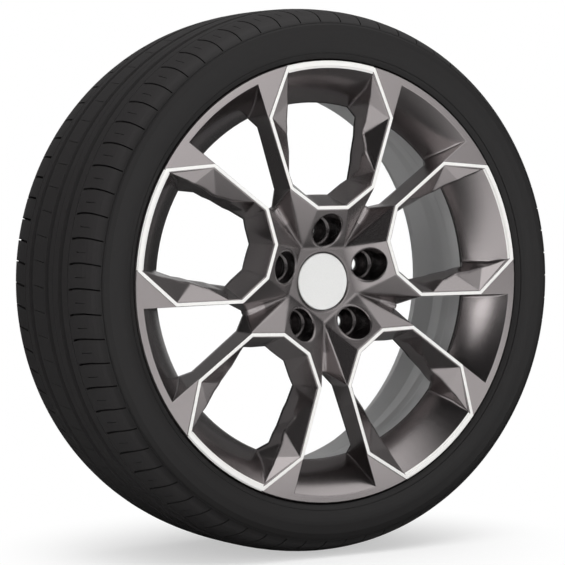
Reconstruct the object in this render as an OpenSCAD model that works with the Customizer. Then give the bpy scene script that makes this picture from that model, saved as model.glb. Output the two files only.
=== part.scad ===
// Wheel and tyre assembly: a 19 inch cast alloy wheel with ten spoke arms in five pairs, with a low-profile tyre.
// The origin is the centre of the wheel. The spin axis is Y, the styled face looks towards -Y and Z is up.
// Inside the modules the wheel lies flat, its axis along Z and its styled face up. stand() turns it upright.

/* [Tyre] */
// Overall diameter of the tyre
tyre_d = 640; // [630:2:650]
// Width over the sidewalls
tyre_w = 225; // [220:1:232]
// Height of the widest place, as a radius
sidewall_r = 281; // [277:1:285]
// Thickness of the crown, tread and belts together
crown_t = 15; // [13:0.5:17]
// Thickness of the sidewall
sidewall_t = 7; // [5.5:0.5:8.5]
// Depth of the long grooves
groove_depth = 7; // [5:0.5:8]
// Width of the three wide long grooves
groove_w = 10; // [7:0.5:11]
// Number of lateral grooves round each shoulder
pitches = 70; // [56:2:80]
// Width of a lateral groove
slot_w = 2.6; // [2:0.2:3.6]
// Depth of a lateral groove at its deepest
slot_depth = 5.5; // [4:0.5:6.5]
// Depth of the flat that the tread makes on the ground
flat_depth = 0.5; // [0.3:0.1:1]

/* [Rim] */
// Diameter of the bead seat
seat_d = 487.4; // [485:0.2:489]
// Width between the flanges
rim_w = 190.5; // [186:0.5:194]
// Height of the flange over the bead seat
flange_h = 14.3; // [13.5:0.1:15]
// Radius of the drop centre's floor
well_r = 219.5; // [218.5:0.5:222]
// Radius of the barrel just behind the spokes
barrel_front_r = 213.5; // [211:0.5:215]
// Radius of the barrel near the rear flange
barrel_rear_r = 229; // [225:0.5:231]
// Distance of the mounting face from the rim's middle
wheel_offset = 51; // [47:1:53]

/* [Face] */
// Distance of the bright machined face from the rim's middle
face_z = 108.5; // [107:0.5:110]
// Height of the machined face over the painted panels
stripe_rise = 1.2; // [0.8:0.1:1.6]
// Width of the machined line
stripe_w = 5.2; // [4.4:0.2:6]
// Radius of the machined line's outer edge along the rim
crown_r = 255.3; // [254:0.1:255.5]
// Radius of the ledge where the windows cut into the rim
lip_r = 247.7; // [246:0.1:248.5]
// Radius of the window's shoulder corner, at the outer edge of the machined line
shoulder_r = 207.5; // [204:0.5:210]
// Radius of the window's waist corner
waist_r = 122.4; // [120:0.2:125]
// Radius of the window's toe corner
toe_r = 86.4; // [85:0.2:88]
// Drop from the machined face to the hub's flat pentagon
hub_drop = 24.1; // [20:0.1:27]
// Radius of the pentagon's corners
pentagon_r = 48.2; // [46.5:0.1:50]
// Width of the ribs between the lobes of the hub
rib_w = 4.6; // [3.6:0.2:6]
// Reach of the ribs
rib_r = 105; // [102:0.5:107]
// How far the small windows narrow from front to back
draft = 4.5; // [3:0.5:6]

/* [Hub] */
// Diameter of the bolt circle
bolt_circle = 120; // [117:0.5:122]
// Number of bolts and of spoke pairs
bolts = 5;
// Diameter of the bolt holes
bolt_hole_d = 15; // [14:0.5:16]
// Diameter of the bolt pockets' mouths
pocket_d = 37.6; // [34:0.2:38]
// Diameter of the hub bore
hub_bore_d = 65.1; // [64:0.1:66.6]
// Diameter of the mounting face
pad_d = 150; // [146:1:156]
// Diameter of the centre cap
cap_d = 66.4; // [65:0.2:67]

/* [Valve] */
// Direction of the valve, counted from +X towards +Z
valve_angle = 181; // [176:0.5:186]
// Length of the valve from its seat to the tip of its thread
valve_l = 30; // [28:1:33]
// Diameter of the valve hole
valve_hole_d = 11.5; // [11.3:0.1:12]
// Travel of the valve's pin
pin_travel = 1.2; // [0.8:0.1:1.5]

/* [Hidden] */
$fn = 96;

paint = [0.50, 0.47, 0.47];
rubber = [0.18, 0.18, 0.18];
silver = [0.88, 0.88, 0.87];
steel = [0.6, 0.6, 0.62];
brass = [0.75, 0.65, 0.4];
black_plastic = [0.1, 0.1, 0.1];

// Cuts reach this far past the surfaces that they open
over = 6;
// Clearance between pieces that rest on each other
fit = 0.25;
sector = 360 / bolts;

// Tyre, with heights along the axis counted from the rim's middle
tyre_r = tyre_d / 2;
half_w = tyre_w / 2;
crown_power = 2.6;
shoulder_power = 3.3;
wall_power = 2.2;
groove_at = [43, 11, -32];
fine_groove_at = [60, -48.5];
fine_groove_w = 1.5;
fine_groove_depth = 2.5;
rib_line_at = 26.3;
line_w = 0.8;
line_depth = 0.8;
// Radii of the ring lines in the sidewalls
wall_lines = [264.5, 299];
// Ends of the short sipes between the front shoulder's grooves, and of those in the middle rib
shoulder_sipe = [74, 90];
rib_sipe = [3, -23];
sipe_w = 0.9;
sipe_depth = 3;
// Lateral grooves of the rear shoulder for each one of the front
rear_pitches = pitches + 8;
slot_arch = 2.4;
slot_taper = 0.45;
slot_start = 61;
rear_slot_start = 50;
slot_end = 107;

// Rim
seat_r = seat_d / 2;
seat_slope = 5;
seat_l = 20;
heel_r = 6.5;
curl_r = 9.5;
flange_z = rim_w / 2;
edge_r = seat_r + flange_h;
flat_r = seat_r + heel_r;
curl_a = asin((edge_r - flat_r) / curl_r);
hump_h = 1.4;
panel_z = face_z - stripe_rise;
edge_z = panel_z - 3.3;
rear_edge_z = flange_z + 8.6;
toe_seat_r = seat_r - (seat_l - heel_r) * tan(seat_slope);
// How far the sidewall draws in from its widest place to the rim's edge
wall_pull_in = half_w - edge_z - 1.6;

// Face and hub
pentagon_z = face_z - hub_drop;
valley_z = pentagon_z - 8;
ledge = 0.3;
back_z = 42;
// From the ledge's edge to the centre of the curve that the rim slope follows
rim_curve = [120, -147.3];
// Height at which the large windows' rear corners are set out, and how far they are there from the front ones
window_back_z = 60;
toe_shift = [-5.2, 15.9];
waist_shift = [-18, 9.7];
rim_shift = [-5.5, 0];
// Corners of each fold's lower edge, as shares of the way from the waist to the rim and depths under the panels
fold_waist = [0, 33.3];
fold_places = [[0.445, 14.8], [0.726, 5.3]];
// Where the fold's steep facet begins, as a share of the way from the shoulder to the waist
fold_share = 0.8;
// Painted margins of the bright line, inside and outside
inner_margin = 0.9;
outer_margin = 0.5;
cap_r = cap_d / 2;
cap_seat_z = pentagon_z - 4.5;
cap_gap = 0.7;
cap_bore_r = 30.4;
cap_bore_z = wheel_offset + 14;
hub_bore_l = 10;
pocket_floor_z = 70;
seat_top_r = 14;
pocket_taper = 1.6;
seat_cone_z = 64;
bolt_r = bolt_circle / 2;
pocket_arc = 24;
pocket_in_r = 42;
pocket_out_r = 66;

// Valve
valve_z = 46;
valve_tilt = 8;
valve_wall = 3.6;
valve_seat_r = (barrel_front_r + well_r - valve_wall) / 2;
stem_r = 3.9;
core_bore_r = 2.65;
core_r = 2.45;
pin_r = 0.7;
pin_bore_r = 1.1;
core_foot = 14;
pin_head_l = 2;

// A point from its radius and its angle to the +Y direction
function polar(r, a) = [r * sin(a), r * cos(a)];

// Points of an arc round c, with n steps from angle a0 to a1
function arc(c, r, a0, a1, n) =
    [for (i = [0:n]) let (a = a0 + (a1 - a0) * i / n) c + r * [cos(a), sin(a)]];

function flip(points) = [for (p = points) [-p[0], p[1]]];
function mirror_z(points) = [for (p = points) [p[0], -p[1]]];
function reverse(v) = [for (i = [len(v) - 1:-1:0]) v[i]];
function lift(points, z) = [for (p = points) [p[0], p[1], z]];
function left_normal(p, q) = let (u = (q - p) / norm(q - p)) [-u[1], u[0]];

// Moves every side of a closed outline that runs counterclockwise inwards by d
function inset(points, d) =
    let (n = len(points))
    [for (i = [0:n - 1])
        let (a = left_normal(points[(i + n - 1) % n], points[i]),
             b = left_normal(points[i], points[(i + 1) % n]))
        points[i] + d * (a + b) / (1 + a * b)];

// Where the line from p to q crosses the circle of radius r
function meet(p, q, r) =
    let (d = q - p, a = d * d, b = p * d)
    p + d * ((sqrt(b * b - a * (p * p - r * r)) - b) / a);

// A point of a large window's right side, from its share of the way from waist to rim and its depth
function side_point(place) =
    let (t = place[1] / (panel_z - window_back_z), a = waist + waist_shift * t, b = rim_corner + rim_shift * t)
    concat(a + (b - a) * place[0], [panel_z - place[1]]);

// The line where bead and rim meet, from the toe outwards, moved off the rim by g
function bead_line(g) = concat(
    [[toe_seat_r + g, flange_z - seat_l]],
    arc([seat_r + heel_r, flange_z - heel_r], heel_r - g, 180, 90, 4),
    arc([flat_r, flange_z + curl_r], curl_r + g, 270, 270 + curl_a, 4));

// Outline of the bright line's outer edge round a large window, counterclockwise from the right toe
function window_half() = [
    polar(toe_r, 13.9),
    polar(waist_r, 27.7),
    polar(shoulder_r, 23.9),
    polar(crown_r, 13.6) * 1.12 - polar(shoulder_r, 23.9) * 0.12];
stripe_outer = concat(window_half(), reverse(flip(window_half())));
stripe_inner = inset(stripe_outer, stripe_w);
ledge_outer = inset(stripe_outer, -ledge);
stripe_trim = inset(stripe_outer, ledge);

toe = stripe_inner[0];
waist = stripe_inner[1];
shoulder = stripe_inner[2];
// Where the line's inner edge meets the rim ledge
rim_corner = meet(shoulder, stripe_inner[3], lip_r);

module stand() {
    rotate([90, 0, 0]) children();
}

module each_pair(turn = 0) {
    for (i = [0:bolts - 1]) rotate([0, 0, sector * i + turn]) children();
}

// A closed solid between an outline at z0 and one at z1 above it, both seen whole from c. Each runs
// counterclockwise and starts at the right toe, and the sides' diagonals are alike left and right.
module between(low, high, z0, z1, c) {
    n = len(low);
    polyhedron(
        points = concat(lift(low, z0), lift(high, z1), [[c[0], c[1], z0], [c[0], c[1], z1]]),
        faces = concat(
            [for (i = [0:n - 1]) [i, (i + 1) % n, 2 * n]],
            [for (i = [0:n - 1]) [n + (i + 1) % n, n + i, 2 * n + 1]],
            [for (i = [0:n - 1]) let (j = (i + 1) % n)
                each (i < n / 2 ? [[i, n + i, j], [n + i, n + j, j]] : [[i, n + i, n + j], [i, n + j, j]])]));
}

wheel_profile = concat(
    [[cap_bore_r, cap_bore_z], [hub_bore_d / 2 + 1, cap_bore_z],
     [hub_bore_d / 2 + 1, wheel_offset + hub_bore_l], [hub_bore_d / 2, wheel_offset + hub_bore_l], [hub_bore_d / 2, wheel_offset],
     [pad_d / 2, wheel_offset], [pad_d / 2 + 5, wheel_offset + 1], [102, 71], [125, 74],
     [182, 77.5], [barrel_front_r - 16, 78]],
    // barrel and rear flange
    [[barrel_front_r, 58], [barrel_front_r + 0.5, 33], [barrel_front_r + 1.5, 32],
     [barrel_front_r + 2.5, 14], [barrel_rear_r - 4, -20], [barrel_rear_r, -66],
     [barrel_rear_r + 9, -rear_edge_z + 15], [edge_r - 9, -rear_edge_z + 4.5],
     [edge_r - 2, -rear_edge_z], [edge_r, -rear_edge_z + 1.2]],
    // bead seats and drop centre
    mirror_z(reverse(bead_line(0))),
    [[toe_seat_r + hump_h, -flange_z + seat_l + 3], [toe_seat_r - 0.2, -flange_z + seat_l + 6],
     [well_r + 16, -60], [well_r + 11, -25], [well_r, 20], [well_r, 57],
     [toe_seat_r - 0.2, flange_z - seat_l - 6], [toe_seat_r + hump_h, flange_z - seat_l - 3]],
    bead_line(0),
    // front flange, face and cap seat
    [[edge_r, edge_z], [edge_r - 2.4, panel_z], [cap_r + cap_gap, panel_z],
     [cap_r + cap_gap, cap_seat_z], [cap_bore_r, cap_seat_z]]);

// The hollow between the hub's flat pentagon, its five lobes and the valleys beside the ribs
module hub_hollow() {
    reach = (panel_z + over - pentagon_z) / (panel_z - pentagon_z);
    half = sector / 2;
    corner = lift([polar(pentagon_r, half)], pentagon_z)[0];
    left_corner = [-corner[0], corner[1], corner[2]];
    top_z = panel_z + 2 * over;
    // one sector's edge, counterclockwise: waist, toe, toe, waist, valley
    w = concat(ledge_outer[1], [panel_z]);
    t = concat(ledge_outer[0], [panel_z]);
    v = concat(polar(rib_r, half), [valley_z]);
    right = [for (p = [w, t]) corner + (p - corner) * reach];
    left = [for (p = right) [-p[0], p[1], p[2]]];
    valley = corner + (v - corner) * reach;
    edge = [right[0], right[1], left[1], left[0], [-valley[0], valley[1], valley[2]]];
    turn = [for (k = [0:bolts - 1]) sector * k];
    rim_pts = [for (a = turn) for (p = edge)
        [p[0] * cos(a) - p[1] * sin(a), p[0] * sin(a) + p[1] * cos(a), p[2]]];
    flat_pts = [for (a = turn)
        [left_corner[0] * cos(a) - left_corner[1] * sin(a),
         left_corner[0] * sin(a) + left_corner[1] * cos(a), pentagon_z]];
    n = len(rim_pts);
    top_pts = [for (p = rim_pts) [p[0], p[1], top_z]];
    f = 2 * n;
    c = f + bolts;
    polyhedron(
        points = concat(rim_pts, top_pts, flat_pts, [[0, 0, top_z]]),
        faces = concat(
            [[for (k = [0:bolts - 1]) f + k]],
            [for (k = [0:bolts - 1]) let (b = 5 * k, here = f + k, last = f + (k + bolts - 1) % bolts)
                each [[last, b + 1, b + 2, here], [last, b, b + 1], [last, (b + n - 1) % n, b],
                      [here, b + 2, b + 3], [here, b + 3, b + 4]]],
            [for (i = [0:n - 1]) [i, n + i, n + (i + 1) % n, (i + 1) % n]],
            [for (i = [0:n - 1]) [n + (i + 1) % n, n + i, c]]));
}

// The raised bright line round a large window
module stripe_pad() {
    translate([0, 0, panel_z - 4]) linear_extrude(4 + stripe_rise) difference() {
        intersection() {
            polygon(inset(stripe_outer, outer_margin));
            circle(r = crown_r - outer_margin);
        }
        intersection() {
            polygon(inset(stripe_outer, stripe_w - inner_margin));
            circle(r = lip_r + 1.9);
        }
    }
}

// The space inside the rim slope, which the windows' outer ends are cut to
module inside_rim() {
    rotate_extrude() difference() {
        translate([0, back_z]) square([crown_r, panel_z + over - back_z]);
        translate([lip_r, panel_z] + rim_curve) circle(r = norm(rim_curve));
    }
}

// Hollow over the fold in a large window's side: flat facets that fall from the bright line to the side.
// The steep one, next to the waist, begins at a turn on the line between waist and shoulder.
module fold_hollow() {
    past = 0.12;
    turn = shoulder + (waist - shoulder) * fold_share;
    start = waist + [-0.4, 0.3];
    corners = [for (z = [panel_z, panel_z + over]) each lift([start, turn, shoulder, rim_corner], z)];
    waist_low = side_point(fold_waist) + [-0.4, 0.3, 0];
    foot = concat([waist_low + (waist_low - corners[0]) * past / 6],
                  [for (place = fold_places) let (p = side_point(place)) p + (p - corners[2]) * past],
                  [side_point([1, 1.2]) - [0.7, 0, 0]]);
    // places of the foot's last point, waist, turn, shoulder, rim corner and the hollow's middle in the list
    f = len(foot) - 1;
    w = f + 1;
    t = w + 1;
    s = w + 2;
    r = w + 3;
    c = w + 8;
    polyhedron(
        points = concat(foot, corners, [[20, waist_low[1] + 46, panel_z - 2]]),
        faces = concat(
            [[0, w, t], [0, t, 1], [1, t, s], [f, s, r], [0, c, w], [w, c, w + 4], [f, r, c], [r, r + 4, c]],
            [for (i = [1:f - 1]) [i, s, i + 1]],
            [for (i = [0:f - 1]) [i, i + 1, c]],
            [for (i = [w:s]) each [[i, i + 4, i + 5, i + 1], [i + 5, i + 4, c]]]));
}

module large_window() {
    steps = 6;
    reach = 1.5;
    rim_back = rim_corner + rim_shift;
    waist_back = waist + waist_shift;
    half = concat([toe], [for (i = [0:steps]) waist + (rim_corner - waist) * reach * i / steps]);
    half_back = concat([toe + toe_shift],
                       [for (i = [0:steps]) waist_back + (rim_back - waist_back) * reach * i / steps]);
    front = concat(half, reverse(flip(half)));
    back = concat(half_back, reverse(flip(half_back)));
    extra = over / (panel_z - window_back_z);
    high = [for (i = [0:len(front) - 1]) front[i] + (front[i] - back[i]) * extra];
    intersection() {
        between(back, high, window_back_z, panel_z + over, [0, shoulder[1]]);
        inside_rim();
    }
    intersection() {
        union() {
            fold_hollow();
            mirror([1, 0, 0]) fold_hollow();
        }
        inside_rim();
    }
}

module small_window() {
    turned = polar(norm(stripe_trim[1]), sector / 2 - atan2(stripe_trim[1][0], stripe_trim[1][1]));
    corner = polar(lip_r - stripe_rise, 12.9);
    half = [[rib_w / 2 + 0.8, rib_r], turned, corner * 1.12 - turned * 0.12];
    front = concat(half, reverse(flip(half)));
    back = inset(front, draft * 0.8);
    extra = over / (panel_z - back_z);
    high = [for (i = [0:len(front) - 1]) front[i] + (front[i] - back[i]) * extra];
    intersection() {
        between(back, high, back_z, panel_z + over, [0, waist_r * 1.4]);
        inside_rim();
    }
}

// A lightening pocket in the back of the hub, between two bolt holes
module back_pocket() {
    depth = 9;
    rotate([0, 0, 90 - pocket_arc / 2]) rotate_extrude(angle = pocket_arc)
        translate([pocket_in_r, wheel_offset - over]) square([pocket_out_r - pocket_in_r, over + depth]);
}

module bolt_hole() {
    translate([0, bolt_r, 0]) {
        translate([0, 0, back_z]) cylinder(d = bolt_hole_d, h = face_z - back_z);
        translate([0, 0, seat_cone_z - seat_top_r + bolt_hole_d / 2])
            cylinder(r1 = bolt_hole_d / 2, r2 = seat_top_r, h = seat_top_r - bolt_hole_d / 2);
        translate([0, 0, seat_cone_z]) cylinder(r = seat_top_r, h = over);
        translate([0, 0, pocket_floor_z]) cylinder(
            d1 = pocket_d - pocket_taper, d2 = pocket_d + pocket_taper, h = panel_z - pocket_floor_z + over);
    }
}

// Axis of the valve: its Z runs from the seat in the rim inwards and a little towards the face
module at_valve() {
    rotate([0, 0, valve_angle]) translate([valve_seat_r, 0, valve_z])
        rotate([0, valve_tilt - 90, 0]) children();
}

module valve_hole() {
    translate([0, 0, -valve_wall - over]) cylinder(d = valve_hole_d, h = valve_wall + 2 * over);
    cylinder(r = 10, h = over);
    translate([0, 0, -valve_wall - over]) cylinder(r = 11, h = over);
}

module alloy_wheel() {
    color(paint) stand() difference() {
        union() {
            difference() {
                rotate_extrude() polygon(wheel_profile);
                hub_hollow();
            }
            each_pair() stripe_pad();
            each_pair(sector / 2)
                translate([-rib_w / 2, pentagon_r - 3, valley_z - over])
                    cube([rib_w, rib_r - pentagon_r + over, pentagon_z - ledge - valley_z + over]);
        }
        each_pair() large_window();
        each_pair(sector / 2) small_window();
        each_pair() bolt_hole();
        each_pair(sector / 2) back_pocket();
        at_valve() valve_hole();
    }
}

// Outer half of the tyre's section, from the middle of the tread to the rim's edge
tread_half = [for (i = [0:14]) let (t = 90 * i / 14)
    [sidewall_r + (tyre_r - sidewall_r) * pow(cos(t), 2 / shoulder_power),
     half_w * pow(sin(t), 2 / crown_power)]];
wall_half = [for (i = [1:6]) let (t = i / 6)
    [sidewall_r - (sidewall_r - edge_r - fit) * t, half_w - wall_pull_in * pow(t, wall_power)]];
outer_half = concat(tread_half, wall_half);

// Inner half of the section, from the bead's toe to the crown
inner_half = [
    [toe_seat_r + 1.5, flange_z - seat_l - 1], [toe_seat_r + 9, flange_z - seat_l + 3],
    [edge_r + 2, half_w - sidewall_t - 6], [sidewall_r, half_w - sidewall_t],
    [tyre_r - crown_t - 17, half_w - sidewall_t - 4], [tyre_r - crown_t - 7, 0.8 * half_w],
    [tyre_r - crown_t - 1.5, 0.5 * half_w], [tyre_r - crown_t, 0.25 * half_w]];

tyre_profile = concat(
    outer_half, reverse(bead_line(fit)), inner_half,
    reverse(mirror_z(inner_half)), mirror_z(bead_line(fit)),
    reverse(mirror_z([for (i = [1:len(outer_half) - 1]) outer_half[i]])));

function tread_r(z) =
    sidewall_r + (tyre_r - sidewall_r) * pow(1 - pow(abs(z) / half_w, crown_power), 1 / shoulder_power);

// A ring-shaped groove in the tread, centred at height z
module long_groove(z, w, depth) {
    r = tread_r(z);
    flare = depth * tan(8);
    rotate_extrude() polygon([
        [r - depth, z - w / 2 + flare], [r - depth, z + w / 2 - flare],
        [r + over, z + w / 2 + over * tan(8)], [r + over, z - w / 2 - over * tan(8)]]);
}

// Distance from the rim's middle to the sidewall at radius r
function wall_z(r) = r > sidewall_r
    ? half_w * pow(1 - pow((r - sidewall_r) / (tyre_r - sidewall_r), shoulder_power), 1 / crown_power)
    : half_w - wall_pull_in * pow((sidewall_r - r) / (sidewall_r - edge_r - fit), wall_power);

// A thin ring line in the sidewall
module wall_line(r) {
    rotate_extrude() translate([r - line_w / 2, wall_z(r) - line_depth]) square([line_w, over]);
}

// A lateral groove from height z0 to z1, arched by rise and leaning by lean, with a flat floor
module lateral_groove(z0, z1, rise, lean, w = slot_w, depth = slot_depth, steps = 4) {
    r0 = tread_r(z0) - depth;
    r1 = tread_r(z1) - depth * 0.8;
    l = norm([r1 - r0, z1 - z0]);
    fall = atan2(r0 - r1, z1 - z0);
    mid = [for (i = [0:steps]) let (t = i / steps)
        [l * t, 4 * rise * t * (1 - t) * (1 - 0.4 * t) + lean * t]];
    wide = [for (i = [0:steps]) w / 2 * (1 - slot_taper * i / steps)];
    outline = concat(
        [for (i = [0:steps]) [mid[i][0], mid[i][1] - wide[i]]],
        [for (i = [steps:-1:0]) [mid[i][0], mid[i][1] + wide[i]]]);
    translate([r0, 0, z0]) rotate([0, -90 - fall, 0]) rotate([180, 0, 0])
        linear_extrude(3 * over) polygon(outline);
}

module tyre() {
    color(rubber) stand() difference() {
        rotate_extrude() polygon(tyre_profile);
        for (z = groove_at) long_groove(z, groove_w, groove_depth);
        for (z = fine_groove_at) long_groove(z, fine_groove_w, fine_groove_depth);
        long_groove(rib_line_at, line_w, line_depth);
        for (r = wall_lines) {
            wall_line(r);
            mirror([0, 0, 1]) wall_line(r);
        }
        for (i = [0:pitches - 1]) rotate([0, 0, 360 / pitches * i]) {
            lateral_groove(slot_start, slot_end, slot_arch, 0);
            rotate([0, 0, 180 / pitches])
                lateral_groove(shoulder_sipe[0], shoulder_sipe[1], 0, 0, sipe_w, sipe_depth, 1);
            mirror([0, 0, 1])
                lateral_groove(-rib_sipe[0], -rib_sipe[1], 0, 3, sipe_w, sipe_depth, 1);
        }
        for (i = [0:rear_pitches - 1]) rotate([0, 0, 360 / rear_pitches * i])
            mirror([0, 0, 1]) lateral_groove(rear_slot_start, slot_end, slot_arch / 2, 4);
        translate([-tyre_r, -tyre_r - over, -half_w]) cube([tyre_d, over + flat_depth, tyre_w]);
    }
}

module centre_cap() {
    top = pentagon_z - ledge;
    bevel = 0.8;
    color(silver) stand() {
        translate([0, 0, cap_seat_z + fit]) cylinder(r = cap_r, h = top - bevel - cap_seat_z - fit);
        translate([0, 0, top - bevel]) cylinder(r1 = cap_r, r2 = cap_r - bevel, h = bevel);
        for (i = [0:7]) rotate([0, 0, 45 * i]) rotate_extrude(angle = 26) polygon([
            [cap_bore_r - 2.2, cap_seat_z + 1], [cap_bore_r - 2.2, cap_bore_z - 3],
            [cap_bore_r - 0.4, cap_bore_z - 3], [cap_bore_r + 1.2, cap_bore_z - 1.4],
            [cap_bore_r + 1.2, cap_bore_z - 0.3], [cap_bore_r - 0.3, cap_bore_z - 0.3],
            [cap_bore_r - 0.3, cap_seat_z + 1]]);
    }
}

module cap_spring_ring() {
    wire_r = 0.9;
    color(steel) stand() translate([0, 0, cap_bore_z + 2])
        rotate_extrude() translate([cap_bore_r - 2.2 - wire_r - 0.2, 0]) circle(r = wire_r);
}

module valve_stem() {
    neck_r = valve_hole_d / 2 - 0.15;
    tip = valve_l;
    // the bore goes on below the core for the pin's head and its travel
    head_room = core_foot - pin_head_l - fit - pin_travel - 1.5;
    color(black_plastic) stand() at_valve() rotate_extrude() polygon([
        [1.6, -valve_wall - 6], [7.5, -valve_wall - 6], [9.5, -valve_wall - 3.5], [9.5, -valve_wall - fit],
        [neck_r, -valve_wall - fit], [neck_r, fit], [7.8, fit], [7.8, 2.5], [4.9, tip - 12],
        [stem_r, tip - 11.5], [stem_r, tip], [core_bore_r, tip], [core_bore_r, head_room],
        [1.6, head_room - 1]]);
}

module valve_core() {
    color(brass) stand() at_valve() rotate_extrude() polygon([
        [pin_bore_r, core_foot], [2, core_foot], [2, valve_l - 8], [core_r, valve_l - 7.5],
        [core_r, valve_l - 0.6], [pin_bore_r, valve_l - 0.6]]);
}

module valve_pin() {
    head_r = 1.7;
    color(steel) stand() at_valve() {
        translate([0, 0, core_foot - fit - pin_head_l]) cylinder(r = head_r, h = pin_head_l);
        translate([0, 0, core_foot - fit - 1]) cylinder(r = pin_r, h = valve_l - core_foot + fit + 0.8);
    }
}

module valve_cap() {
    color(black_plastic) stand() at_valve() difference() {
        translate([0, 0, valve_l - 9]) cylinder(r = 5.4, h = 12.5);
        translate([0, 0, valve_l - 9 - over]) cylinder(r = stem_r + fit, h = 11 + over);
    }
}

alloy_wheel();
tyre();
centre_cap();
cap_spring_ring();
valve_stem();
valve_core();
valve_pin();
valve_cap();
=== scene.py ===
"""Looks of a wheel and tyre assembly: finishes for its solids, a pale studio and the photograph's camera.

The solids come from the fixed frame. Everything here is in metres, with the wheel's centre at the origin,
the spin axis along Y, the styled face towards -Y and +Z up.
"""

import logging
import math
from dataclasses import dataclass
from enum import Enum

import bpy
from mathutils import Matrix, Vector


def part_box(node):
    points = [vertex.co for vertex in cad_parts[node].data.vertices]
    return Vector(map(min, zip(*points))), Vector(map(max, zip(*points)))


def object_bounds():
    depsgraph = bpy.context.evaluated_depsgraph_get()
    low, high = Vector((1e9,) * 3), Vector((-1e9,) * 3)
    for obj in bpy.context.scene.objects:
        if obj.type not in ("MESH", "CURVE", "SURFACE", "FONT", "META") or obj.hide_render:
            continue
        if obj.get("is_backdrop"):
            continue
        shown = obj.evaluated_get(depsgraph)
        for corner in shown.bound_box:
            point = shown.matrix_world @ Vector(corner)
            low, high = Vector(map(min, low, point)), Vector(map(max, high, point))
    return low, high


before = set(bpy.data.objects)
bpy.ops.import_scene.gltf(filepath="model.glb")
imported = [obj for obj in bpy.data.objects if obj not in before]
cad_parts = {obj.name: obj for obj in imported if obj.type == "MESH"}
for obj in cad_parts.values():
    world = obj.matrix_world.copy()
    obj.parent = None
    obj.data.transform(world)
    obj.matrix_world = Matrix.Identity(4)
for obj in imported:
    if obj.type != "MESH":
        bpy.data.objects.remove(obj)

LOG = logging.getLogger("wheel")
WHITE = (1.0, 1.0, 1.0)

Colour = tuple[float, float, float]
Place = tuple[float, float, float]
Socket = bpy.types.NodeSocket


class Axes(Enum):
    """Which axes a distance is measured in, as a factor for each."""

    ACROSS_SPIN = (1.0, 0.0, 1.0)
    LEVEL = (1.0, 1.0, 0.0)


class Ramp(Enum):
    """How a share grows from 0 to 1."""

    EVEN = "LINEAR"
    SOFT = "SMOOTHSTEP"


class Sheen(Enum):
    """How a plain finish answers light, as its roughness and its metallic value."""

    MATT = (0.75, 0.0)
    SATIN = (0.38, 0.25)
    BRIGHT = (0.22, 1.0)


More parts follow.
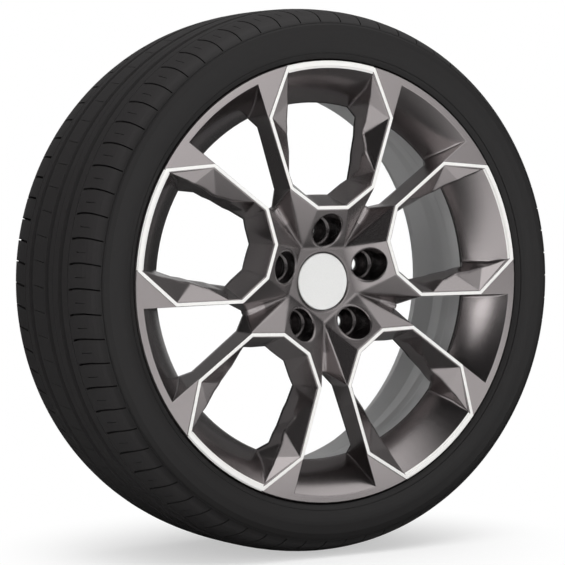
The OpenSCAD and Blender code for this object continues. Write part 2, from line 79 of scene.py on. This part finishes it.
class NodeTree:
    """A short way to build a shader tree."""

    def __init__(self, owner: bpy.types.Material | bpy.types.World) -> None:
        """Empties the owner's tree and adds its output.

        Args:
            owner: The material or world that the tree belongs to.
        """
        owner.use_nodes = True
        self.tree = owner.node_tree
        self.tree.nodes.clear()
        kind = "World" if isinstance(owner, bpy.types.World) else "Material"
        self.output = self.add("Output" + kind)

    def add(self, kind: str, **settings: object) -> bpy.types.Node:
        """Adds a node and sets its properties.

        Args:
            kind: The node's type, without the ShaderNode prefix.
            **settings: Properties of the node.

        Returns:
            The new node.
        """
        node = self.tree.nodes.new("ShaderNode" + kind)
        for key, value in settings.items():
            setattr(node, key, value)
        return node

    def feed(self, socket: Socket, value: float | Colour | Socket) -> None:
        """Fills an input, with a link where the value comes from another node.

        Args:
            socket: The input.
            value: A number, a vector, a colour without its alpha, or another node's output.
        """
        if isinstance(value, Socket):
            self.tree.links.new(value, socket)
        elif socket.type == "RGBA":
            socket.default_value = (*value, 1.0)
        else:
            socket.default_value = value

    def number(self, operation: str, *values: float | Socket) -> Socket:
        """Works out a number.

        Args:
            operation: The operation of the Math node.
            *values: Numbers or outputs, in the order of the node's inputs.

        Returns:
            The node's result.
        """
        node = self.add("Math", operation=operation)
        for socket, value in zip(node.inputs, values):
            self.feed(socket, value)
        return node.outputs[0]

    def vector(self, operation: str, *values: Place | Socket) -> bpy.types.Node:
        """Works out a vector, or a number from vectors.

        Args:
            operation: The operation of the Vector Math node.
            *values: Vectors or outputs, in the order of the node's inputs.

        Returns:
            The node, with its outputs Vector and Value.
        """
        node = self.add("VectorMath", operation=operation)
        for socket, value in zip(node.inputs, values):
            self.feed(socket, value)
        return node

    def every(self, *shares: Socket) -> Socket:
        """Gives the product of shares: 1 where each of them is 1.

        Args:
            *shares: Outputs from 0 to 1.

        Returns:
            Their product.
        """
        product, *others = shares
        for share in others:
            product = self.number("MULTIPLY", product, share)
        return product

    def blend(self, share: Socket, low: Colour | Socket, high: Colour | Socket) -> Socket:
        """Mixes two colours.

        Args:
            share: How much of the second colour there is, from 0 to 1.
            low: The first colour.
            high: The second colour.

        Returns:
            The mixed colour.
        """
        mix = self.add("Mix", data_type="RGBA")
        self.feed(mix.inputs["Factor"], share)
        self.feed(mix.inputs["A"], low)
        self.feed(mix.inputs["B"], high)
        return mix.outputs["Result"]

    def between(self, share: Socket, low: float | Socket, high: float) -> Socket:
        """Mixes two numbers.

        Args:
            share: How much of the second number there is, from 0 to 1.
            low: The first number.
            high: The second number.

        Returns:
            The mixed number.
        """
        return self.number("MULTIPLY_ADD", share, self.number("SUBTRACT", high, low), low)

    def fade(self, value: Socket, start: float, end: float, ramp: Ramp = Ramp.SOFT) -> Socket:
        """Turns a value into a share.

        Args:
            value: The value.
            start: Where the share is 0.
            end: Where the share reaches 1.
            ramp: How it grows from start to end.

        Returns:
            The share, from 0 to 1.
        """
        share = self.add("MapRange", interpolation_type=ramp.value)
        self.feed(share.inputs["Value"], value)
        self.feed(share.inputs["From Min"], start)
        self.feed(share.inputs["From Max"], end)
        return share.outputs["Result"]

    def show(self, share: Socket, under: bpy.types.Node, over: bpy.types.Node) -> None:
        """Shows one shader over another.

        Args:
            share: How much of the upper shader there is, from 0 to 1.
            under: The lower shader.
            over: The upper shader.
        """
        mix = self.add("MixShader")
        for socket, value in zip(mix.inputs, (share, under.outputs[0], over.outputs[0])):
            self.feed(socket, value)
        self.feed(self.output.inputs["Surface"], mix.outputs[0])

    def place(self) -> Socket:
        """Gives the place on the object as a vector."""
        return self.add("TexCoord").outputs["Object"]

    def coordinates(self) -> bpy.types.NodeOutputs:
        """Gives the place on the object as X, Y and Z.

        Returns:
            The three outputs, by name.
        """
        split = self.add("SeparateXYZ")
        self.feed(split.inputs[0], self.place())
        return split.outputs

    def distance(self, axes: Axes) -> Socket:
        """Gives the distance from the object's origin in some of its axes.

        Args:
            axes: The axes that count.

        Returns:
            The distance.
        """
        flat = self.vector("MULTIPLY", self.place(), axes.value).outputs["Vector"]
        return self.vector("LENGTH", flat).outputs["Value"]

    def grain(self, scale: float) -> Socket:
        """Gives a fine noise that is fixed to the object.

        Args:
            scale: How fine the noise is, in cells to the metre.

        Returns:
            The noise, from 0 to 1.
        """
        noise = self.add("TexNoise")
        self.feed(noise.inputs["Vector"], self.place())
        self.feed(noise.inputs["Scale"], scale)
        return noise.outputs["Fac"]


def darker_and_lighter(colour: Colour, share: float) -> tuple[Colour, Colour]:
    """Gives the two ends of a colour's grain.

    Args:
        colour: The colour between them.
        share: How far each end lies from it, as a share of the colour.

    Returns:
        The darker and the lighter colour.
    """
    dark, light = (tuple(factor * c for c in colour) for factor in (1 - share, 1 + share))
    return dark, light


@dataclass(frozen=True)
class Region:
    """One region of the casting: its colour and how it answers light."""

    colour: Colour
    metallic: float
    roughness: float


@dataclass(frozen=True)
class WheelFinish:
    """Metallic paint with machined lines, painted shade in the bolt pockets and hub hollows, and a
    plainer barrel and mounting pad.

    The regions are told apart by where they are on the casting. A depth is the distance behind the
    foremost, machined plane, and an angle is in degrees. A stripe is a machined line round a large
    window, a step is that line's side, painted near black as painted shade of the narrow groove beside
    the line, and a ledge is the strip at the window's outer end. Edges catch the light as if they were
    rounded, by the first edge radius in front and by the second deeper in.
    """

    panel: Region = Region((0.345, 0.317, 0.317), metallic=1.0, roughness=0.22)
    fleck_scale: float = 2600.0
    fleck_share: float = 0.12
    stripe: Region = Region((0.84, 0.83, 0.81), metallic=0.25, roughness=0.40)
    stripe_depth: float = 0.0004
    # Painted shade: the sides of the step beside each machined line are painted near black.
    painted_step_shade: Region = Region((0.05, 0.046, 0.046), metallic=1.0, roughness=0.22)
    step_shade_depth: float = 0.00115
    pairs: int = 5
    ledge_depth: float = 0.0016
    ledge_width: float = 0.0106
    ledge_half_angle: float = 13.2
    hub_radius: float = 0.083
    # Painted shade: the hub's recesses, the bolt pockets among them, are painted near black deeper in,
    # standing in for the shade there.
    painted_pocket_shade: Region = Region((0.12, 0.11, 0.11), metallic=1.0, roughness=0.22)
    pocket_shade_depths: tuple[float, float] = (0.0165, 0.0285)
    pad: Region = Region((0.66, 0.66, 0.65), metallic=0.15, roughness=0.45)
    pad_depth: float = 0.056
    barrel: Region = Region((0.60, 0.60, 0.60), metallic=0.15, roughness=0.45)
    barrel_depth: float = 0.0545
    barrel_radius: float = 0.19
    coat: float = 0.3
    coat_roughness: float = 0.05
    edge_radii: tuple[float, float] = (0.001, 0.005)
    edge_depths: tuple[float, float] = (0.002, 0.010)
    edge_samples: int = 8

    def ledges(self, nodes: NodeTree, depth: Socket, rim_radius: float) -> Socket:
        """Marks the narrow ledges at the large windows' outer ends, which are machined too.

        Args:
            nodes: The tree to add to.
            depth: The depth on the casting.
            rim_radius: The radius of the rim's edge.

        Returns:
            1 on a ledge and 0 elsewhere.
        """
        place = nodes.coordinates()
        turn = nodes.number("ARCTAN2", place["X"], place["Z"])
        half = math.pi / self.pairs
        off = nodes.number("ABSOLUTE", nodes.number("WRAP", turn, half, -half))
        near = nodes.number("LESS_THAN", off, math.radians(self.ledge_half_angle))
        high = nodes.number("LESS_THAN", depth, self.ledge_depth)
        radius = nodes.distance(Axes.ACROSS_SPIN)
        outer = nodes.number("GREATER_THAN", radius, rim_radius - self.ledge_width)
        return nodes.every(near, high, outer)

    def layers(self, nodes: NodeTree, depth: Socket, rim_radius: float) -> list[tuple[Socket, Region]]:
        """Finds the regions that lie over the painted panels.

        Args:
            nodes: The tree to add to.
            depth: The depth on the casting.
            rim_radius: The radius of the rim's edge.

        Returns:
            Each region with its share, from 0 to 1, the lowest layer first.
        """
        radius = nodes.distance(Axes.ACROSS_SPIN)
        at_hub = nodes.number("LESS_THAN", radius, self.hub_radius)
        at_rim = nodes.number("GREATER_THAN", radius, self.barrel_radius)
        front = nodes.number("LESS_THAN", depth, self.stripe_depth)
        return [
            # Painted shade: the hub's hollows darken with depth, standing in for the shade in them.
            (nodes.every(at_hub, nodes.fade(depth, *self.pocket_shade_depths)), self.painted_pocket_shade),
            (nodes.every(at_hub, nodes.number("GREATER_THAN", depth, self.pad_depth)), self.pad),
            (nodes.every(at_rim, nodes.number("GREATER_THAN", depth, self.barrel_depth)), self.barrel),
            # Painted shade on the step's sides.
            (nodes.number("LESS_THAN", depth, self.step_shade_depth), self.painted_step_shade),
            (nodes.number("MAXIMUM", front, self.ledges(nodes, depth, rim_radius)), self.stripe),
        ]

    def build(self, face_y: float, rim_radius: float) -> bpy.types.Material:
        """Builds the material.

        Args:
            face_y: Where the foremost, machined plane lies on the spin axis.
            rim_radius: The radius of the rim's edge.

        Returns:
            The material of the casting.
        """
        material = bpy.data.materials.new("wheel_paint")
        nodes = NodeTree(material)
        depth = nodes.number("SUBTRACT", nodes.coordinates()["Y"], face_y)
        fleck = darker_and_lighter(self.panel.colour, self.fleck_share)
        colour = nodes.blend(nodes.grain(self.fleck_scale), *fleck)
        metallic, roughness = self.panel.metallic, self.panel.roughness
        for share, region in self.layers(nodes, depth, rim_radius):
            colour = nodes.blend(share, colour, region.colour)
            metallic = nodes.between(share, metallic, region.metallic)
            roughness = nodes.between(share, roughness, region.roughness)
        shader = nodes.add("BsdfPrincipled")
        nodes.feed(shader.inputs["Base Color"], colour)
        nodes.feed(shader.inputs["Metallic"], metallic)
        nodes.feed(shader.inputs["Roughness"], roughness)
        edges = nodes.add("Bevel", samples=self.edge_samples)
        deep = nodes.fade(depth, *self.edge_depths)
        nodes.feed(edges.inputs["Radius"], nodes.between(deep, *self.edge_radii))
        nodes.feed(shader.inputs["Normal"], edges.outputs[0])
        nodes.feed(shader.inputs["Coat Normal"], edges.outputs[0])
        nodes.feed(shader.inputs["Coat Weight"], self.coat)
        nodes.feed(shader.inputs["Coat Roughness"], self.coat_roughness)
        nodes.feed(nodes.output.inputs["Surface"], shader.outputs[0])
        return material


@dataclass(frozen=True)
class PlainFinish:
    """One colour with a light surface grain."""

    name: str
    colour: Colour
    sheen: Sheen
    grain_scale: float = 900.0
    grain_share: float = 0.06

    def build(self) -> bpy.types.Material:
        """Builds the material.

        Returns:
            A material of one colour with a little grain.
        """
        material = bpy.data.materials.new(self.name)
        nodes = NodeTree(material)
        roughness, metallic = self.sheen.value
        shader = nodes.add("BsdfPrincipled")
        ends = darker_and_lighter(self.colour, self.grain_share)
        nodes.feed(shader.inputs["Base Color"], nodes.blend(nodes.grain(self.grain_scale), *ends))
        nodes.feed(shader.inputs["Roughness"], roughness)
        nodes.feed(shader.inputs["Metallic"], metallic)
        nodes.feed(nodes.output.inputs["Surface"], shader.outputs[0])
        return material


@dataclass(frozen=True)
class RubberFinish:
    """Tyre rubber: a matt tread and a slightly smoother sidewall.

    The tread's finish is reached tread_depth inside the tread's outside, and fades in over tread_blend
    further inside.
    """

    sidewall: Colour = (0.0120, 0.0112, 0.0113)
    tread: Colour = (0.0250, 0.0235, 0.0238)
    tread_depth: float = 0.014
    tread_blend: float = 0.006
    grain_scale: float = 700.0
    grain_share: float = 0.12
    roughness: tuple[float, float] = (0.52, 0.66)
    specular: float = 0.3

    def build(self, outer_radius: float) -> bpy.types.Material:
        """Builds the material.

        Args:
            outer_radius: The radius of the tread's outside.

        Returns:
            The material of the tyre.
        """
        material = bpy.data.materials.new("tyre_rubber")
        nodes = NodeTree(material)
        full = outer_radius - self.tread_depth
        start = full - self.tread_blend
        share = nodes.fade(nodes.distance(Axes.ACROSS_SPIN), start, full, Ramp.EVEN)
        grain = nodes.number("SUBTRACT", nodes.grain(self.grain_scale), 0.5)
        smooth = nodes.between(share, *self.roughness)
        shader = nodes.add("BsdfPrincipled")
        nodes.feed(shader.inputs["Base Color"], nodes.blend(share, self.sidewall, self.tread))
        roughness = nodes.number("MULTIPLY_ADD", grain, self.grain_share, smooth)
        nodes.feed(shader.inputs["Roughness"], roughness)
        nodes.feed(shader.inputs["Specular IOR Level"], self.specular)
        nodes.feed(nodes.output.inputs["Surface"], shader.outputs[0])
        return material


def dress(node: str, material: bpy.types.Material) -> bpy.types.Object:
    """Gives one solid of the frame its finish.

    Args:
        node: The solid's name.
        material: The finish.

    Returns:
        The dressed object.
    """
    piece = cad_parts[node]
    piece.data.materials.clear()
    piece.data.materials.append(material)
    return piece


@dataclass
class Casting:
    """The alloy wheel."""

    finish: WheelFinish = WheelFinish()

    def dress(self) -> list[bpy.types.Object]:
        """Paints the casting and returns it."""
        low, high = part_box("alloy_wheel")
        return [dress("alloy_wheel", self.finish.build(low.y, high.x))]


@dataclass
class Tyre:
    """The tyre."""

    finish: RubberFinish = RubberFinish()

    def dress(self) -> list[bpy.types.Object]:
        """Gives the tyre its rubber and returns it."""
        _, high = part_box("tyre")
        return [dress("tyre", self.finish.build(high.x))]


@dataclass
class CentreCap:
    """The cap in the hub and the spring ring behind it."""

    face: PlainFinish = PlainFinish("cap_silver", (0.74, 0.74, 0.73), Sheen.SATIN)
    ring: PlainFinish = PlainFinish("spring_steel", (0.45, 0.45, 0.46), Sheen.BRIGHT)

    def dress(self) -> list[bpy.types.Object]:
        """Dresses the cap and its ring and returns them."""
        return [dress("centre_cap", self.face.build()), dress("cap_spring_ring", self.ring.build())]


@dataclass
class Valve:
    """The tyre valve: stem, core, pin and cap."""

    stem: PlainFinish = PlainFinish("stem_rubber", (0.022, 0.022, 0.022), Sheen.MATT)
    metal: PlainFinish = PlainFinish("valve_brass", (0.60, 0.47, 0.24), Sheen.BRIGHT)
    cap: PlainFinish = PlainFinish("cap_plastic", (0.03, 0.03, 0.03), Sheen.MATT)

    def dress(self) -> list[bpy.types.Object]:
        """Dresses the valve's four pieces.

        Returns:
            The stem, the core, the pin and the cap.
        """
        brass = self.metal.build()
        return [
            dress("valve_stem", self.stem.build()),
            dress("valve_core", brass),
            dress("valve_pin", brass),
            dress("valve_cap", self.cap.build()),
        ]


@dataclass
class PhotoCamera:
    """The photograph's camera.

    The camera stands to the left of the wheel's face and a little above its centre. The small roll
    stands for the wheel's own turn about its axle in the photograph. Angles are in degrees, the lens
    and the sensor's width in millimetres, and the other lengths in metres.
    """

    azimuth: float = -30.296
    elevation: float = 2.457
    roll: float = -0.66
    distance: float = 3.0844
    lens: float = 164.79
    sensor_width: float = 36.0
    aim_right: float = -0.0047
    aim_up: float = -0.0036

    def build(self) -> bpy.types.Object:
        """Builds the camera and makes it the scene's.

        Returns:
            The camera.
        """
        turn, lift, roll = (math.radians(a) for a in (self.azimuth, self.elevation, self.roll))
        back = Vector((math.sin(turn) * math.cos(lift), -math.cos(turn) * math.cos(lift), math.sin(lift)))
        level = Vector((math.cos(turn), math.sin(turn), 0.0))
        upright = back.cross(level)
        right = math.cos(roll) * level + math.sin(roll) * upright
        up = math.cos(roll) * upright - math.sin(roll) * level
        spot = back * self.distance + level * self.aim_right + upright * self.aim_up
        data = bpy.data.cameras.new("photo_camera")
        data.lens = self.lens
        data.sensor_width = self.sensor_width
        camera = bpy.data.objects.new("photo_camera", data)
        camera.matrix_world = Matrix.Translation(spot) @ Matrix((right, up, back)).transposed().to_4x4()
        bpy.context.scene.collection.objects.link(camera)
        bpy.context.scene.camera = camera
        return camera


@dataclass(frozen=True)
class Glow:
    """A soft patch of white far away.

    It is full inside its inner angle and gone at its outer one, in degrees from its middle. Its stretch
    makes it that many times as tall.
    """

    towards: Place
    inner: float
    outer: float
    strength: float
    stretch: float = 1.0

    def level(self, nodes: NodeTree, direction: Socket, level: float | Socket) -> Socket:
        """Adds this patch to the room's light.

        Args:
            nodes: The world's tree.
            direction: The direction of the ray.
            level: The light so far.

        Returns:
            The light with this patch.
        """
        squeeze = Vector((1.0, 1.0, 1.0 / self.stretch))
        squeezed = nodes.vector("MULTIPLY", direction, squeeze).outputs["Vector"]
        unit = nodes.vector("NORMALIZE", squeezed).outputs["Vector"]
        centre = (Vector(self.towards) * squeeze).normalized()
        near = nodes.vector("DOT_PRODUCT", unit, centre).outputs["Value"]
        outer, inner = (math.cos(math.radians(a)) for a in (self.outer, self.inner))
        return nodes.number("MULTIPLY_ADD", nodes.fade(near, outer, inner), self.strength, level)


@dataclass(frozen=True)
class Lamp:
    """A square soft lamp that looks at the wheel's centre and doesn't show in reflections."""

    name: str
    place: Place
    size: float
    power: float

    def build(self) -> bpy.types.Object:
        """Hangs the lamp.

        Returns:
            The lamp.
        """
        data = bpy.data.lights.new(self.name, "AREA")
        data.shape = "SQUARE"
        data.size = self.size
        data.energy = self.power
        lamp = bpy.data.objects.new(self.name, data)
        lamp.location = self.place
        lamp.rotation_euler = (-Vector(self.place)).to_track_quat("-Z", "Y").to_euler()
        lamp.visible_glossy = False
        bpy.context.scene.collection.objects.link(lamp)
        return lamp


@dataclass
class Studio:
    """A pale floor, a dim room with soft patches of white, and fill lamps.

    The camera sees plain white. In the metal the same white stands in patches, and the floor goes from
    dim at the wheel, a painted shadow, to white further in front of it. The floor's shadow is deepest up
    to shadow_near from the middle and gone at shadow_far.
    """

    floor_size: float = 30.0
    floor_colour: float = 0.90
    # Painted shadow: the floor as the metal sees it, dim near and behind the wheel and white well in
    # front.
    mirrored_floor_shade: tuple[float, float] = (0.08, 1.00)
    mirrored_from: tuple[float, float] = (-0.25, -0.70)
    shadow_least: float = 0.50
    shadow_near: float = 0.10
    shadow_far: float = 0.38
    room: float = 0.025
    front_glow: Glow = Glow((0.24, -0.97, 0.04), inner=14.0, outer=24.0, strength=1.40, stretch=1.8)
    top_glow: Glow = Glow((0.35, -0.10, 0.93), inner=12.0, outer=46.0, strength=1.00)
    left_glow: Glow = Glow((-0.88, -0.47, 0.00), inner=4.0, outer=11.0, strength=2.20, stretch=3.0)
    right_glow: Glow = Glow((0.80, -0.60, 0.10), inner=35.0, outer=80.0, strength=0.15)
    back_glow: Glow = Glow((0.35, 0.93, 0.10), inner=15.0, outer=40.0, strength=0.45)
    lamps: tuple[Lamp, ...] = (
        Lamp("top_lamp", place=(-0.3, -0.9, 2.6), size=2.2, power=42.0),
        Lamp("left_lamp", place=(-2.6, -1.6, 1.0), size=1.6, power=36.0),
        Lamp("right_lamp", place=(2.2, -2.6, 0.8), size=1.6, power=26.0),
    )

    def floor_material(self) -> bpy.types.Material:
        """Builds the floor's material, which takes shadow near the wheel and is white further out.

        Returns:
            The floor's material.
        """
        material = bpy.data.materials.new("studio_floor")
        nodes = NodeTree(material)
        path = nodes.add("LightPath").outputs
        # Painted shadow: glossy rays see the floor dim near the wheel, going to white in front of it.
        in_front = nodes.fade(nodes.coordinates()["Y"], *self.mirrored_from)
        shaded_mirror_colour = nodes.blend(in_front, *((level,) * 3 for level in self.mirrored_floor_shade))
        colour = nodes.blend(path["Is Glossy Ray"], (self.floor_colour,) * 3, shaded_mirror_colour)
        plain = nodes.add("BsdfDiffuse")
        nodes.feed(plain.inputs["Color"], colour)
        white = nodes.add("Emission")
        nodes.feed(white.inputs["Color"], WHITE)
        clear = nodes.fade(nodes.distance(Axes.LEVEL), self.shadow_near, self.shadow_far)
        share = nodes.between(clear, self.shadow_least, 1.0)
        nodes.show(nodes.every(share, path["Is Camera Ray"]), plain, white)
        return material

    def build_floor(self, height: float) -> bpy.types.Object:
        """Lays the floor under the tyre.

        Args:
            height: Where the tyre stands.

        Returns:
            The floor.
        """
        half = self.floor_size / 2
        mesh = bpy.data.meshes.new("studio_floor")
        corners = [(-half, -half, 0.0), (half, -half, 0.0), (half, half, 0.0), (-half, half, 0.0)]
        mesh.from_pydata(corners, [], [(0, 1, 2, 3)])
        mesh.materials.append(self.floor_material())
        floor = bpy.data.objects.new("studio_floor", mesh)
        floor.location.z = height
        bpy.context.scene.collection.objects.link(floor)
        floor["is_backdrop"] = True
        return floor

    def build_world(self) -> None:
        """Lights the room by direction, and shows white to the camera."""
        world = bpy.data.worlds.new("studio_world")
        nodes = NodeTree(world)
        direction = nodes.add("TexCoord").outputs["Generated"]
        level = self.room
        for glow in (self.front_glow, self.top_glow, self.left_glow, self.right_glow, self.back_glow):
            level = glow.level(nodes, direction, level)
        light, shown = nodes.add("Background"), nodes.add("Background")
        nodes.feed(light.inputs["Color"], WHITE)
        nodes.feed(light.inputs["Strength"], level)
        nodes.feed(shown.inputs["Color"], WHITE)
        nodes.show(nodes.add("LightPath").outputs["Is Camera Ray"], light, shown)
        bpy.context.scene.world = world

    def build(self, height: float) -> None:
        """Builds the floor, the world and the lamps.

        Args:
            height: Where the tyre stands.
        """
        self.build_floor(height)
        self.build_world()
        for lamp in self.lamps:
            lamp.build()


def main() -> None:
    """Dresses the object, builds the studio and the camera."""
    logging.basicConfig(level=logging.INFO, format="%(message)s")
    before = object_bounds()
    for assembly in (Casting(), Tyre(), CentreCap(), Valve()):
        for piece in assembly.dress():
            LOG.info("%s: dressed as part of %s", piece.name, type(assembly).__name__)
    low, _ = before
    Studio().build(low.z)
    PhotoCamera().build()
    bpy.context.scene.view_settings.view_transform = "Standard"
    LOG.info("sizes written")


if __name__ == "__main__":
    main()
